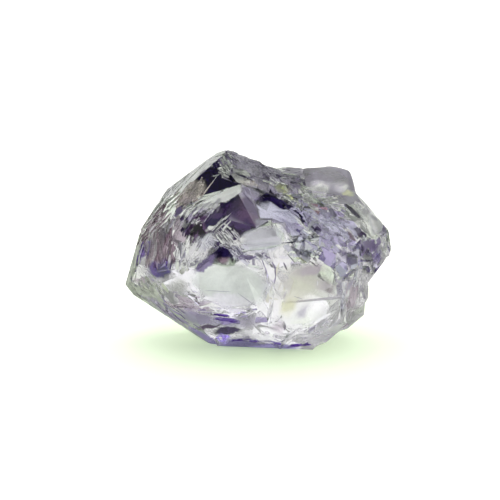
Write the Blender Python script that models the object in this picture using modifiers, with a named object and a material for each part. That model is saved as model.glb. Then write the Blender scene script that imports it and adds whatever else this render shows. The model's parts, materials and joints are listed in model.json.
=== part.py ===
"""Rough scapolite crystal: one gem-clear broken piece, 11 mm wide, that stands on its flat base.

The crystal is built the way it broke. Convex lumps are cleaved out of balls by flat faces and grown together
into one solid. Bites are then broken out of it along flat planes, shell-shaped flakes with ripple rings are
struck off its edges, and thin slabs are split from the torn zones, which leaves them stepped.
Run it with: blender --background --python part.py
Metres, +Z up, +X to the right, the front towards -Y, and the origin at the middle of the base.
"""

from math import cos, pi, radians, sin
from random import Random

import bmesh
import bpy
from mathutils import Matrix, Vector

MM = 0.001
CLEAR = 3.0 * MM  # how far a cutter reaches out past the skin that it cuts
RING_STEPS = 22  # sides of a flake's rings
RIPPLE = 0.028  # height of the last ripple of a flake, as a share of its half width
SEED = 7  # draws the slabs of the torn zones
LAVENDER = (0.62, 0.52, 0.78, 1.0)  # colour of the clear crystal, linear
REFRACTION = 1.55

# A face is (turn, tilt, a point on it): turn from the front towards the right and tilt upwards, in degrees,
# with the point in mm. These points are shared by several faces.
APEX = (-1.34, -0.4, 8.0)
RIDGE_END = (0.37, -3.15, 5.48)  # where the sharp ridge under the apex meets the middle front
LEFT_KNEE = (-3.44, -2.15, 3.34)  # left end of the ridge across the middle
MIDDLE_KNEE = (-0.33, -3.5, 4.13)  # middle of that ridge
HEEL = (-2.6, -2.5, 1.7)  # lower left corner of the pale front

# Each lump: the middle and radius of the ball that it is cleaved from, in mm, and its flat faces.
MAIN_BLOCK = {
    "middle": (-1.0, 0.2, 3.9),
    "radius": 5.75,
    "faces": [
        (-22, 37, APEX),  # dark windows under the apex
        (-35, 18, (-3.12, -1.75, 5.5)),  # streaked left shoulder
        (-46, 11, LEFT_KNEE),  # left front
        (-7, 17, RIDGE_END),  # middle front
        (-9, -13, MIDDLE_KNEE),  # pale lower front
        (-38, -12, LEFT_KNEE),  # lower left front
        (-8, -34, HEEL),  # front of the foot
        (-47, -36, HEEL),  # left of the foot
        (-50, -42, (-5.48, 0.0, 2.2)),  # under the left tip
        (40, 52, APEX),  # upper right front
        (33, 38, RIDGE_END),  # lavender face
        (18, 4, (1.4, -3.2, 4.5)),  # front, right of the middle
        (-64, 46, (-2.75, -0.2, 6.7)),  # frosted rim, upper
        (-66, 32, (-3.9, -0.3, 5.55)),  # frosted rim, middle
        (-69, 16, (-4.86, -0.3, 3.9)),  # frosted rim, lower
        (-92, 52, (-3.0, 0.0, 6.74)),  # left outline, upper
        (-96, 33, (-4.3, 0.2, 5.38)),  # left outline, middle
        (-95, 16, (-5.16, 0.1, 3.45)),  # left outline, lower
        (-90, -30, (-5.5, 0.0, 2.2)),  # left tip
        (-88, -61, (-3.65, 0.0, 0.84)),  # under the left overhang
        (160, 50, APEX),  # back of the top ridge
        (-152, 46, (-2.2, 1.0, 6.7)),  # back, upper left
        (-122, 4, (-4.4, 1.9, 3.4)),  # back, left
        (172, 18, (-0.9, 3.3, 4.6)),  # back, upper
        (178, -14, (-0.8, 3.7, 3.6)),  # back, lower
        (-158, -34, (-2.2, 2.7, 1.8)),  # back, lower left
        (168, -40, (0.3, 2.9, 1.7)),  # back of the foot
        (0, -90, (0.0, 0.0, 0.0)),  # base
    ],
}
RIGHT_SHOULDER = {
    "middle": (2.0, 0.2, 3.4),
    "radius": 4.3,
    "faces": [
        (32, 27, (1.7, -1.95, 5.8)),  # front, upper
        (20, 2, (2.0, -2.85, 3.8)),  # front, middle
        (30, -14, (2.8, -2.4, 2.4)),  # front, lower
        (56, 30, (4.3, -0.75, 5.1)),  # hollow side of the right tip
        (85, 43, (4.86, 0.2, 5.07)),  # right tip, upper
        (88, 2, (5.47, 0.2, 4.2)),  # right tip
        (88, -27, (5.05, 0.2, 2.95)),  # right tip, lower
        (20, 72, (2.4, -0.2, 6.0)),  # top
        (132, 34, (3.9, 1.6, 5.0)),  # back, upper
        (152, -6, (3.1, 2.7, 3.4)),  # back
        (120, -40, (3.4, 1.6, 1.6)),  # back, lower
        (40, -44, (2.7, -1.4, 0.8)),  # lower right
        (0, -90, (0.0, 0.0, 0.0)),  # base
    ],
}
RIGHT_FOOT = {
    "middle": (2.3, 0.1, 1.6),
    "radius": 2.9,
    "faces": [
        (16, 6, (2.3, -2.35, 1.7)),  # front
        (52, -6, (3.6, -1.5, 1.5)),  # front right
        (88, -4, (4.44, 0.0, 1.5)),  # right
        (80, 40, (4.36, 0.0, 2.1)),  # shoulder of the foot
        (82, -60, (3.6, 0.0, 0.55)),  # under the right
        (10, -48, (1.8, -1.6, 0.0)),  # under the front
        (172, -8, (2.4, 2.1, 1.6)),  # back
        (150, -46, (2.4, 1.7, 0.5)),  # under the back
        (0, 80, (2.3, 0.0, 3.2)),  # top, inside the shoulder
        (0, -90, (0.0, 0.0, 0.0)),  # base
    ],
}
KNOB = {
    "middle": (2.8, 1.05, 5.6),
    "radius": 1.66,
    "faces": [
        (0, 86, (2.85, 1.1, 6.76)),  # top
        (-60, 58, (1.85, 0.9, 6.68)),  # upper left
        (86, 12, (3.95, 1.0, 6.2)),  # right
        (60, 46, (3.6, 0.9, 6.6)),  # upper right
        (-12, 14, (2.85, -0.3, 6.2)),  # front
        (44, 14, (3.6, 0.1, 6.1)),  # front right
        (176, 22, (2.9, 2.4, 6.2)),  # back
        (120, 20, (3.8, 1.9, 6.2)),  # back right
    ],
}
LUMPS = (("right_shoulder", RIGHT_SHOULDER), ("right_foot", RIGHT_FOOT), ("knob", KNOB))

# Each bite: the middle and half size of the block that is broken out, in mm, and the faces that it leaves.
BITES = [
    # the window under the apex, and the pale ledge at its foot
    ((-2.0, -2.4, 7.6), 2.0, [(-24, 26, APEX), (-52, 62, (-2.6, -1.7, 5.77)), (96, 20, (-2.9, -0.9, 6.5))]),
    # the lavender face, and the dark riser above it
    ((2.1, -3.1, 6.6), 2.0, [(36, 48, (1.2, -2.25, 5.38)), (14, -24, (0.75, -1.55, 6.24)), (118, 10, (0.1, -2.4, 5.9))]),
    # middle front: a shallow flat window that stops at the ridge across the middle
    ((0.3, -4.6, 5.6), 1.4, [(-4, 21, (0.15, -3.05, 5.2)), (-30, 70, (-0.3, -3.3, 4.42)), (-100, 20, (1.05, -3.1, 4.8))]),
    # slit pit under the ridge across the middle
    ((-1.75, -4.0, 4.2), 0.75, [(-14, -30, (-1.45, -3.0, 4.3)), (-14, 20, (-1.5, -3.0, 4.0))]),
    # standing split planes of the right foot
    ((2.4, -3.6, 0.7), 1.6, [(24, -4, (1.9, -2.6, 1.5)), (88, 0, (0.95, -2.6, 1.4))]),
    ((4.6, -2.4, 1.7), 1.3, [(40, -4, (3.9, -1.3, 1.8)), (78, 2, (3.3, -1.9, 1.8)), (30, 66, (3.8, -1.3, 1.1))]),
    # waist under the right tip
    ((5.6, -0.4, 2.5), 1.1, [(78, -34, (4.95, 0.0, 2.9)), (86, 18, (4.4, 0.0, 2.2))]),
    # notch between the top ridge and the knob
    ((2.3, -0.2, 8.0), 1.35, [(24, 66, (1.1, -0.1, 6.8)), (-50, 60, (1.8, 0.4, 6.66))]),
    # steps down the back
    ((2.6, 4.2, 5.4), 1.9, [(150, 18, (2.3, 2.2, 4.9)), (164, 74, (2.3, 2.5, 4.2)), (-100, 6, (1.2, 2.6, 5.0))]),
    ((-4.2, 3.6, 1.0), 1.8, [(-134, -14, (-3.2, 2.2, 1.6)), (-140, -70, (-3.4, 2.2, 2.3))]),
]

# Each flake: the middle of its hollow, the way it looks (turn, tilt), the roll of its long side,
# its half length and half width, its depth, all in mm and degrees, and its rings.
FLAKES = [
    ((4.3, -1.2, 4.5), (46, 30), -40, (1.2, 0.7), 0.22, 2),  # hollow beside the right tip
    ((-4.3, -0.9, 1.5), (-60, -46), 0, (1.5, 0.9), 0.18, 3),  # under the left tip
    ((-0.6, -2.6, 1.0), (-8, -34), 0, (1.7, 0.8), 0.22, 3),  # front of the foot
    ((-3.9, 2.9, 4.6), (-140, 22), 50, (2.6, 1.3), 0.30, 5),  # edge of the back, left
    ((0.3, 3.5, 1.4), (170, -28), 8, (2.4, 1.0), 0.26, 4),  # edge of the back, low
    ((3.6, 2.3, 4.6), (136, 20), 70, (2.0, 0.9), 0.24, 3),  # back of the right shoulder
]

# Each torn zone: its middle, the way it looks, the roll of its grain, its half length and half width,
# the number of slabs, their longest half length, the ratio of length to width, and the depth of a slab, in mm.
TORN_ZONES = [
    ((2.9, -2.1, 4.5), (32, 22), 30, (1.5, 1.1), 22, 0.75, 1.8, 0.16),  # right front
    ((0.1, -0.75, 7.1), (42, 52), -32, (1.4, 0.6), 16, 0.9, 4.0, 0.12),  # beside the top ridge
    ((-2.7, -2.2, 5.0), (-35, 20), 55, (1.0, 0.8), 18, 0.7, 4.0, 0.11),  # streaks on the left shoulder
    ((-1.6, -3.2, 4.4), (-24, 4), 12, (1.5, 0.25), 10, 0.5, 2.0, 0.10),  # ridge across the middle
    ((4.0, -1.4, 2.9), (48, -4), 85, (1.2, 0.7), 8, 0.8, 2.5, 0.12),  # under the right tip
    ((-3.0, 2.6, 4.4), (-140, 14), 60, (1.5, 0.9), 9, 0.9, 2.5, 0.14),  # back, left
    ((2.4, 1.9, 5.2), (156, 30), 20, (1.3, 0.8), 8, 0.8, 2.5, 0.14),  # back, behind the knob
]


def outward(turn, tilt):
    """The way a face looks: turn from the front (-Y) towards the right (+X), tilt upwards, in degrees."""
    turn, tilt = radians(turn), radians(tilt)
    return Vector((sin(turn) * cos(tilt), -cos(turn) * cos(tilt), sin(tilt)))


def standing(turn, tilt, point):
    """The placing that puts a shape's own +Z along outward(turn, tilt) and its origin at a point in mm."""
    turned = outward(turn, tilt).to_track_quat("Z", "Y").to_matrix().to_4x4()
    return Matrix.Translation(Vector(point) * MM) @ turned


def cleave(bm, looks, point):
    """Cuts off what lies past a plane, which looks along a vector, and closes the cut with a flat face."""
    cut = bmesh.ops.bisect_plane(
        bm,
        geom=bm.verts[:] + bm.edges[:] + bm.faces[:],
        dist=1e-7,
        plane_co=Vector(point) * MM,
        plane_no=looks,
        clear_outer=True,
    )
    rim = [part for part in cut["geom_cut"] if isinstance(part, bmesh.types.BMEdge)]
    bmesh.ops.contextual_create(bm, geom=rim)


def finished(bm, name):
    """A new object from a closed bmesh, with its faces looking out."""
    bmesh.ops.recalc_face_normals(bm, faces=bm.faces[:])
    mesh = bpy.data.meshes.new(name)
    bm.to_mesh(mesh)
    bm.free()
    return bpy.data.objects.new(name, mesh)


def cleaved_lump(name, lump):
    """A convex lump: a ball with flat faces cleaved off it."""
    bm = bmesh.new()
    middle = Matrix.Translation(Vector(lump["middle"]) * MM)
    bmesh.ops.create_icosphere(bm, subdivisions=2, radius=lump["radius"] * MM, matrix=middle)
    for turn, tilt, point in lump["faces"]:
        cleave(bm, outward(turn, tilt), point)
    return finished(bm, name)


def bite_cutter(name, middle, half_size, faces):
    """The block that a bite takes out: it ends at the faces that the bite leaves, so it is cleaved from their back."""
    bm = bmesh.new()
    middle = Matrix.Translation(Vector(middle) * MM)
    bmesh.ops.create_cube(bm, size=2 * half_size * MM, matrix=middle)
    for turn, tilt, point in faces:
        cleave(bm, -outward(turn, tilt), point)
    return finished(bm, name)


def flake_section(half_width, depth, rings):
    """Half the section of a flake in mm, from its axis outwards: a bowl with ripples that grow to its rim."""
    bowl_radius = (half_width**2 + depth**2) / (2 * depth)
    reach = half_width * 1.25
    count = 3 * rings
    points = [(0.0, -depth)]
    for i in range(1, count + 1):
        share = (i / count) ** 0.7
        sag = bowl_radius - (bowl_radius**2 - (share * reach) ** 2) ** 0.5
        swell = RIPPLE * half_width * share**3 * sin(2 * pi * rings * i / count)
        points.append((share * reach, sag - depth + swell))
    return points


def flake_cutter(name, middle, facing, roll, halves, depth, rings):
    """What a struck flake takes off: its rippled bowl, turned about its axis and closed well outside the crystal."""
    half_length, half_width = halves
    bowl = flake_section(half_width, depth, rings)
    lid = [(0.0, CLEAR / MM), (bowl[-1][0], CLEAR / MM)]
    mesh = bpy.data.meshes.new(name)
    section = [(out * MM, 0.0, up * MM) for out, up in lid + bowl[::-1]]
    mesh.from_pydata(section, [(i, i + 1) for i in range(len(section) - 1)], [])
    cutter = bpy.data.objects.new(name, mesh)
    turned = cutter.modifiers.new("turned", "SCREW")
    turned.steps = turned.render_steps = RING_STEPS
    turned.use_merge_vertices = True
    turned.merge_threshold = 1e-6
    stretch = Matrix.Diagonal((half_length / half_width, 1.0, 1.0, 1.0))
    cutter.matrix_world = standing(*facing, middle) @ Matrix.Rotation(radians(roll), 4, "Z") @ stretch
    return cutter


def slab_cutters(zone_name, middle, facing, roll, halves, slabs, longest, slenderness, depth):
    """The thin slabs split from a torn zone: long along its grain, each tipped its own way."""
    rng = Random(f"{SEED} {zone_name}")
    zone = standing(*facing, middle) @ Matrix.Rotation(radians(roll), 4, "Z")
    for i in range(slabs):
        half_length = longest * rng.uniform(0.45, 1.0)
        half_width = half_length / slenderness * rng.uniform(0.7, 1.3)
        along = rng.uniform(-1, 1) * halves[0]
        across = rng.uniform(-1, 1) * halves[1]
        down = depth * rng.uniform(-0.2, 1.0)
        place = Matrix.Translation(Vector((along, across, -down)) * MM)
        spin = Matrix.Rotation(radians(rng.gauss(0, 12)), 4, "Z")
        roll_over = Matrix.Rotation(radians(rng.gauss(0, 9)), 4, "X")
        dip = Matrix.Rotation(radians(rng.gauss(0, 6)), 4, "Y")
        bm = bmesh.new()
        bmesh.ops.create_cube(bm, size=1.0, matrix=Matrix.Translation((0.0, 0.0, 0.5)))
        bmesh.ops.scale(bm, vec=(2 * half_length * MM, 2 * half_width * MM, CLEAR / 2), verts=bm.verts[:])
        slab = finished(bm, f"{zone_name}_slab_{i + 1}")
        slab.matrix_world = zone @ place @ spin @ roll_over @ dip
        yield slab


def change_with(crystal, name, tools, operation):
    """Joins a group of lumps to the crystal, or takes a group of cutters from it, and puts the group out of sight."""
    group = bpy.data.collections.new(name)
    bpy.data.collections["Cutters"].children.link(group)
    for tool in tools:
        group.objects.link(tool)
        tool.hide_render = True
        tool.display_type = "WIRE"
    change = crystal.modifiers.new(name, "BOOLEAN")
    change.operation = operation
    change.operand_type = "COLLECTION"
    change.collection = group


def clear_scapolite():
    material = bpy.data.materials.new("clear scapolite")
    material.use_nodes = True
    shader = material.node_tree.nodes["Principled BSDF"]
    shader.inputs["Base Color"].default_value = LAVENDER
    shader.inputs["Metallic"].default_value = 0.0
    shader.inputs["Roughness"].default_value = 0.05
    shader.inputs["IOR"].default_value = REFRACTION
    shader.inputs["Transmission Weight"].default_value = 1.0
    return material


def main():
    for obj in list(bpy.data.objects):
        bpy.data.objects.remove(obj, do_unlink=True)
    parts = bpy.data.collections.new("Scapolite crystal")
    cutters = bpy.data.collections.new("Cutters")
    for collection in (parts, cutters):
        bpy.context.scene.collection.children.link(collection)
    crystal = cleaved_lump("crystal", MAIN_BLOCK)
    crystal.data.materials.append(clear_scapolite())
    parts.objects.link(crystal)
    change_with(crystal, "lumps", [cleaved_lump(name, lump) for name, lump in LUMPS], "UNION")
    for i, bite in enumerate(BITES):
        name = f"bite_{i + 1}"
        change_with(crystal, name, [bite_cutter(name, *bite)], "DIFFERENCE")
    for i, flake in enumerate(FLAKES):
        name = f"flake_{i + 1}"
        change_with(crystal, name, [flake_cutter(name, *flake)], "DIFFERENCE")
    for i, zone in enumerate(TORN_ZONES):
        name = f"torn_{i + 1}"
        change_with(crystal, name, list(slab_cutters(name, *zone)), "DIFFERENCE")


main()
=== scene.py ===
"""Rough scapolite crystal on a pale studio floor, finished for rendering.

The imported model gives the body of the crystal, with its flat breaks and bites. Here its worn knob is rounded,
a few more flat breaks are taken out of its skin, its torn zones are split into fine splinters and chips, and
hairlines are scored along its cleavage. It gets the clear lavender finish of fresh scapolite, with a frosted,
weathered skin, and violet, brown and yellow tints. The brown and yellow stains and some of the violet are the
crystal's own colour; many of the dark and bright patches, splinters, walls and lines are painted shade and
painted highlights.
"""

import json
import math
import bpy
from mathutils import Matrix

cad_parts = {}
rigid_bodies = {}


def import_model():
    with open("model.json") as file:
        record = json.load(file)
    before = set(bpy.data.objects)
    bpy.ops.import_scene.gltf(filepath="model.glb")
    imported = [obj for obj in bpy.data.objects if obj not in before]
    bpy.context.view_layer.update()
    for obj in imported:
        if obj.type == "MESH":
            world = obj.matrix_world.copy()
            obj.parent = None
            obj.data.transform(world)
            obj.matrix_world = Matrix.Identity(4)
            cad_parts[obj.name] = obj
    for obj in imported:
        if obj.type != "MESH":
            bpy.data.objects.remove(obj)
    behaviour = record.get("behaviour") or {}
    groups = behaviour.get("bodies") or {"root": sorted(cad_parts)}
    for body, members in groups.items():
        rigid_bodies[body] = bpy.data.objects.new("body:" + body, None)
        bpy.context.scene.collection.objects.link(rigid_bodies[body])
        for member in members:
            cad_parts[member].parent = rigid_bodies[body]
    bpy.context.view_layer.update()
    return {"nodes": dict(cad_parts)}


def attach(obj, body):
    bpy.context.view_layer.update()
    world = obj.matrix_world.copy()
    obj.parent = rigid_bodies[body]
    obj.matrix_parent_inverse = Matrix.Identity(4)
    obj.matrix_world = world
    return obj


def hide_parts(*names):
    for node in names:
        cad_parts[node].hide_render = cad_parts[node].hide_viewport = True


bl_info = {
    "name": "Scapolite crystal",
    "version": (1, 0, 0),
    "blender": (4, 5, 0),
    "location": "3D View > Sidebar > Scapolite",
    "description": "Finishes a rough scapolite crystal and sets the studio round it",
    "category": "Add Mesh",
}

from random import Random

import bpy
from mathutils import Matrix, Vector

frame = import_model()

MM = 0.001
REACH = 0.6  # how far a splinter or a line stands out of the skin, mm
BREAK_REACH = 2.4  # how far the block of a flat break stands up from the flat, mm
SEED = 11  # draws the splinters
EYE_TILT = 12.0  # how far the camera looks down, degrees
EYE_DISTANCE = 57.4 * MM  # from the camera to the middle of its view
VIEW_MIDDLE = (-0.33, 0.0, 3.7)  # mm
FRONT, BACK = (0, EYE_TILT), (180, 15)  # sides that the skin is seen from: turn and tilt
KNOB_MIDDLE, KNOB_RADIUS, KNOB_FOOT = (2.8, 1.05, 5.9), 2.0, 5.6  # where the knob lies, and its lowest height, mm
SPLINTER_KEEPS, LINE_KEEPS = 0.45, 0.8  # the share of its tint that a splinter or a line keeps under a painted patch
SPREAD = 60  # how far a splinter turns from the grain, degrees times its length to width
FOLLOWS = 0.8  # how often a splinter takes the tint of a full painted patch that lies over it
PATCH_DEPTH = 3  # how far a painted patch reaches to the front and the back of the skin, mm
PATCH_RAGGED = 0.45  # how far the noise pulls the edge of a painted patch about, mm
SMOOTH_UNDER = 24.0  # faces that meet at less than this angle are shaded as one, degrees
IOR = 1.55
NEAR_FLOOR = 12  # how far the painted green light and shade round the crystal reach on the floor, mm
LENS = 100  # mm

# Tints, as sRGB hex: what white light from inside looks like once it has come out through the skin. They serve both
# as the crystal's own colours and stains and, in the tables below, as painted shade and painted highlights.
TINTS = {
    "clear": "#FFFFFF",
    "milky": "#EEEFEC",
    "bluish": "#DADBE2",
    "greenish": "#E4ECE0",
    "mossy": "#CDD5C2",
    "sage": "#BFC3B6",
    "hay": "#DEDECB",
    "straw": "#DEDFB4",
    "warm": "#D6CBC6",
    "rosy": "#CBC0C8",
    "rose": "#C9A4B2",
    "pale lilac": "#CFCBE6",
    "lilac": "#BFB6D8",
    "mauve": "#978AB0",
    "bright violet": "#AE94F6",
    "violet": "#6546A0",
    "deep violet": "#3A2080",
    "grey": "#B9B2C6",
    "pewter": "#A29DAD",
    "slate": "#908D9E",
    "ash": "#7B7092",
    "brown": "#8C7784",
    "plum": "#5C4468",
    "smoky": "#43305C",
    "ink": "#1C1040",
    "rust": "#E0E4B4",
}

# Faces of the body: turn and tilt that they look along, within how many degrees, the middle and radius of the
# patch in mm, the tint, and the frost from 0, fresh, to 1, weathered. A later row paints over an earlier one. The
# smoky and ink tints of the two windows are painted shade, on the purple window partly its own colour too.
FACES = [
    ((-22, 37), 6, (-1.2, -2.3, 5.7), 1.5, "smoky", 0.0),  # purple window
    ((-24, 26), 5, (-1.6, -1.2, 6.9), 1.6, "ink", 0.0),  # window under the apex
    ((-52, 62), 8, (-1.7, -1.4, 6.1), 1.8, "milky", 0.5),  # ledge under the window
    ((-64, 46), 9, (-2.7, -0.5, 6.6), 2.0, "clear", 0.4),  # left rim
    ((-66, 32), 9, (-3.6, -0.8, 5.7), 2.2, "greenish", 0.4),
    ((-69, 16), 9, (-4.6, -0.6, 3.9), 2.4, "mossy", 0.9),
    ((-50, -42), 12, (-4.4, -0.8, 2.0), 2.4, "mossy", 0.8),  # under the left tip
    ((-47, -36), 9, (-3.8, -1.4, 1.8), 2.0, "mossy", 0.7),
]

# Flat breaks: the side that they are seen from, the turn and tilt that they look along, a place right and up of
# the middle of that view and how deep under the skin they lie there, their outline in that view, the tint of the
# flat and of the walls round it, and the frost. The walls' tint, mostly darker than the flat's, is painted shade
# in the break, and the dark pit's ink flat is painted shade too. Lengths are in mm.
BREAKS = {
    "upper_right": (
        FRONT, (34, 51), (-0.17, 2.23), 0.15,
        ((-1.12, 3.39), (-0.29, 3.18), (0.5, 2.93), (1.4, 2.52), (2.07, 1.82),
         (1.65, 1.16), (0.74, 0.99), (0.25, 0.91), (-0.58, 1.07), (-0.99, 2.31)),
        "grey", "ash", 0.4,
    ),
    "lavender_face": (
        FRONT, (43, 48), (0.99, 1.9), 0.3,
        ((0.08, 1.94), (0.54, 2.19), (1.07, 1.94), (1.65, 1.61), (1.94, 1.4), (2.56, 0.54),
         (2.15, 0.25), (1.53, 0.37), (1.24, 0.87), (0.79, 1.12), (0.33, 1.16)),
        "pale lilac", "ink", 0.5,
    ),
    "knob_top": (
        FRONT, (-6, 67), (3.1, 3.39), 0.02,
        ((2.19, 3.06), (2.31, 3.72), (4.13, 3.72), (4.63, 3.22), (4.63, 2.4),
         (3.93, 2.02), (3.31, 1.86), (2.73, 1.94), (2.31, 2.36)),
        "pewter", "slate", 0.6,
    ),
    "dark_pit": (
        FRONT, (28, 12), (-1.32, -0.25), 0.2,
        ((-1.94, -0.5), (-1.57, -0.12), (-1.28, 0.17), (-0.95, 0.0),
         (-0.83, -0.33), (-0.91, -0.66), (-1.4, -0.58)),
        "ink", "smoky", 0.3,
    ),
    "tip_window": (
        FRONT, (45, 6), (5.17, 1.12), 0.16,
        ((4.96, 1.74), (5.25, 1.61), (5.54, 1.24), (5.45, 0.79), (5.12, 0.54), (4.92, 1.07)),
        "clear", "grey", 0.6,
    ),
    "foot_left": (
        FRONT, (-30, -24), (-1.9, -3.59), 0.12,
        ((-2.48, -3.06), (-1.94, -3.22), (-1.4, -3.47), (-1.28, -3.76),
         (-1.36, -4.13), (-1.94, -4.05), (-2.64, -3.47)),
        "lilac", "violet", 0.6,
    ),
    "under_right": (
        (40, -50), (40, -50), (1.1, 1.0), 0.12,
        ((-0.4, 0.3), (2.4, 0.3), (2.4, 2.2), (-0.4, 2.2)),
        "milky", "milky", 0.6,
    ),
}
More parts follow.
